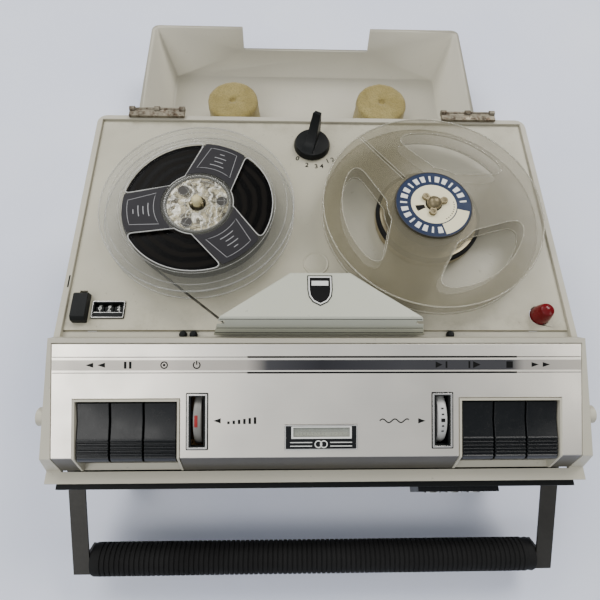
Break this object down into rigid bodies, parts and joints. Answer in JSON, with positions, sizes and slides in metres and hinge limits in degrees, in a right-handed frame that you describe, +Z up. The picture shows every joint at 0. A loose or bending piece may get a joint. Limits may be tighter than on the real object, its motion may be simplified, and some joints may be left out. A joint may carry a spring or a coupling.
{
  "type": "reel to reel tape deck",
  "caption": "Portable reel-to-reel tape deck: sloping front panel with piano keys and thumbwheels, a full and an empty reel, lid lying open behind, carrying handle in front.",
  "frame": {"origin": "middle of the footprint of the whole object as stored, lid open behind and handle forward, on the table", "axes": "+X to the operator's right, +Y to the back, away from the operator, +Z up"},
  "size_m": [0.3454, 0.5182, 0.1528],
  "materials": {
    "case_paint": "satin",
    "deck_paint": "satin",
    "cover_plastic": "satin",
    "dark_shell": "grained",
    "panel_metal": "brushed",
    "black_plastic": "gloss",
    "satin_black": "satin",
    "steel": "satin",
    "rubber": "matte",
    "clear_plastic": "clear",
    "amber_plastic": "clear",
    "tape": "satin",
    "red_plastic": "gloss",
    "foam": "soft open cell",
    "board": "matte",
    "copper": "satin",
    "label": "printed",
    "cream_plastic": "satin"
  },
  "bodies": {
    "case": {"control_panel": "panel_metal", "key_bezel_left": "case_paint", "key_bezel_right": "case_paint", "meter_housing": "black_plastic", "top_frame": "case_paint", "lower_shell": "dark_shell", "foot_front_left": "rubber", "foot_rear_left": "rubber", "foot_front_right": "rubber", "foot_rear_right": "rubber", "front_strip": "satin_black", "socket_block": "black_plastic", "hinge_plate_left": "case_paint", "hinge_plate_right": "case_paint", "mains_inlet": "satin_black", "deck_plate": "deck_paint", "chassis_plate": "steel", "head_cover": "cover_plastic", "head_bridge": "steel", "tape_run": "tape", "counter_housing": "steel", "motor_body": "steel", "drive_belt": "rubber", "transformer": "copper", "circuit_board": "board", "loudspeaker": "satin_black", "handle_pivot_left": "steel", "handle_pivot_right": "steel"},
    "supply_reel": {"left_turntable": "steel", "left_reel_lower": "clear_plastic", "left_reel_upper": "clear_plastic", "tape_pack": "tape"},
    "take_up_reel": {"right_turntable": "steel", "right_reel_lower": "amber_plastic", "right_reel_upper": "amber_plastic", "right_reel_label": "label"},
    "knob": {"speed_knob": "satin_black"},
    "record": {"record_button": "red_plastic"},
    "slider": {"track_slider": "satin_black"},
    "counter": {"counter_drums": "satin_black"},
    "reset": {"counter_reset": "satin_black"},
    "volume": {"volume_wheel": "cream_plastic"},
    "tone": {"tone_wheel": "cream_plastic"},
    "needle": {"meter_needle": "red_plastic"},
    "capstan": {"flywheel": "steel"},
    "motor_shaft": {"motor_pulley": "copper"},
    "pinch": {"pinch_arm": "steel"},
    "roller": {"pinch_roller": "rubber"},
    "handle": {"handle_arm_left": "steel", "handle_arm_right": "steel", "handle_grip": "rubber"},
    "lid": {"lid_shell": "case_paint", "foam_pad_left": "foam", "foam_pad_right": "foam"},
    "key_rewind_body": {"key_rewind": "black_plastic"},
    "key_pause_body": {"key_pause": "black_plastic"},
    "key_input_body": {"key_input": "black_plastic"},
    "key_start_body": {"key_start": "black_plastic"},
    "key_stop_body": {"key_stop": "black_plastic"},
    "key_forward_body": {"key_forward": "black_plastic"}
  },
  "joints": [
    {"name": "supply_spin", "type": "hinge", "parent": "case", "child": "supply_reel", "pos_m": [-0.0796, -0.02987, 0.14], "axis": [0, 0, 1], "continuous": true},
    {"name": "take_up_spin", "type": "hinge", "parent": "case", "child": "take_up_reel", "pos_m": [0.0768, -0.02987, 0.14], "axis": [0, 0, 1], "continuous": true},
    {"name": "counter_turn", "type": "hinge", "parent": "case", "child": "counter", "pos_m": [-0.1348, -0.09577, 0.1214], "axis": [1, 0, 0], "continuous": true},
    {"name": "capstan_spin", "type": "hinge", "parent": "case", "child": "capstan", "pos_m": [0.01, -0.10507, 0.089], "axis": [0, 0, 1], "continuous": true},
    {"name": "motor_spin", "type": "hinge", "parent": "case", "child": "motor_shaft", "pos_m": [-0.072, -0.05507, 0.085], "axis": [0, 0, 1], "continuous": true},
    {"name": "pinch_swing", "type": "hinge", "parent": "case", "child": "pinch", "pos_m": [0.026, -0.09637, 0.13], "axis": [0, 0, 1], "range_deg": [0, 12]},
    {"name": "roller_spin", "type": "hinge", "parent": "pinch", "child": "roller", "pos_m": [0.01035, -0.09304, 0.135], "axis": [0, 0, 1], "continuous": true},
    {"name": "rewind_key", "type": "hinge", "parent": "case", "child": "key_rewind_body", "pos_m": [0, -0.15467, 0.11055], "axis": [1, 0, 0], "range_deg": [0, 5], "stiffness_Nm_per_rad": 0.3, "springref_deg": -5.73},
    {"name": "pause_key", "type": "hinge", "parent": "case", "child": "key_pause_body", "pos_m": [0, -0.15467, 0.11055], "axis": [1, 0, 0], "range_deg": [0, 5], "stiffness_Nm_per_rad": 0.3, "springref_deg": -5.73},
    {"name": "input_key", "type": "hinge", "parent": "case", "child": "key_input_body", "pos_m": [0, -0.15467, 0.11055], "axis": [1, 0, 0], "range_deg": [0, 5], "stiffness_Nm_per_rad": 0.3, "springref_deg": -5.73},
    {"name": "start_key", "type": "hinge", "parent": "case", "child": "key_start_body", "pos_m": [0, -0.15467, 0.11055], "axis": [1, 0, 0], "range_deg": [0, 5], "stiffness_Nm_per_rad": 0.3, "springref_deg": -5.73},
    {"name": "stop_key", "type": "hinge", "parent": "case", "child": "key_stop_body", "pos_m": [0, -0.15467, 0.11055], "axis": [1, 0, 0], "range_deg": [0, 5], "stiffness_Nm_per_rad": 0.3, "springref_deg": -5.73},
    {"name": "forward_key", "type": "hinge", "parent": "case", "child": "key_forward_body", "pos_m": [0, -0.15467, 0.11055], "axis": [1, 0, 0], "range_deg": [0, 5], "stiffness_Nm_per_rad": 0.3, "springref_deg": -5.73},
    {"name": "record_press", "type": "slide", "parent": "case", "child": "record", "axis": [0, 0, -1], "range_m": [0, 0.003], "stiffness_N_per_m": 60, "springref_m": -0.002},
    {"name": "reset_press", "type": "slide", "parent": "case", "child": "reset", "axis": [0, 0, -1], "range_m": [0, 0.0018], "stiffness_N_per_m": 60, "springref_m": -0.002},
    {"name": "track_slide", "type": "slide", "parent": "case", "child": "slider", "axis": [0, 1, 0], "range_m": [0, 0.005]},
    {"name": "speed_turn", "type": "hinge", "parent": "case", "child": "knob", "pos_m": [-0.002, 0.03643, 0.13], "axis": [0, 0, 1], "range_deg": [-17, 73]},
    {"name": "volume_turn", "type": "hinge", "parent": "case", "child": "volume", "pos_m": [-0.0746, -0.16037, 0.10322], "axis": [1, 0, 0], "range_deg": [-135, 135]},
    {"name": "tone_turn", "type": "hinge", "parent": "case", "child": "tone", "pos_m": [0.0746, -0.16037, 0.10322], "axis": [1, 0, 0], "range_deg": [-135, 135]},
    {"name": "needle_swing", "type": "hinge", "parent": "case", "child": "needle", "pos_m": [0.0005, -0.16251, 0.09129], "axis": [0, 0.9291, 0.3698], "range_deg": [0, 50], "stiffness_Nm_per_rad": 0.0002, "springref_deg": -5.73},
    {"name": "handle_swing", "type": "hinge", "parent": "case", "child": "handle", "pos_m": [0, -0.15807, 0.08], "axis": [-1, 0, 0], "range_deg": [-10, 22]},
    {"name": "lid_turn", "type": "hinge", "parent": "case", "child": "lid", "pos_m": [0, 0.07193, 0.09085], "axis": [1, 0, 0], "range_deg": [0, 180]}
  ],
  "couplings": [
    {"joint": "counter_turn", "follows": "take_up_spin", "ratio": 0.1},
    {"joint": "motor_spin", "follows": "capstan_spin", "ratio": 6},
    {"joint": "pinch_swing", "follows": "start_key", "ratio": 2.4}
  ]
}
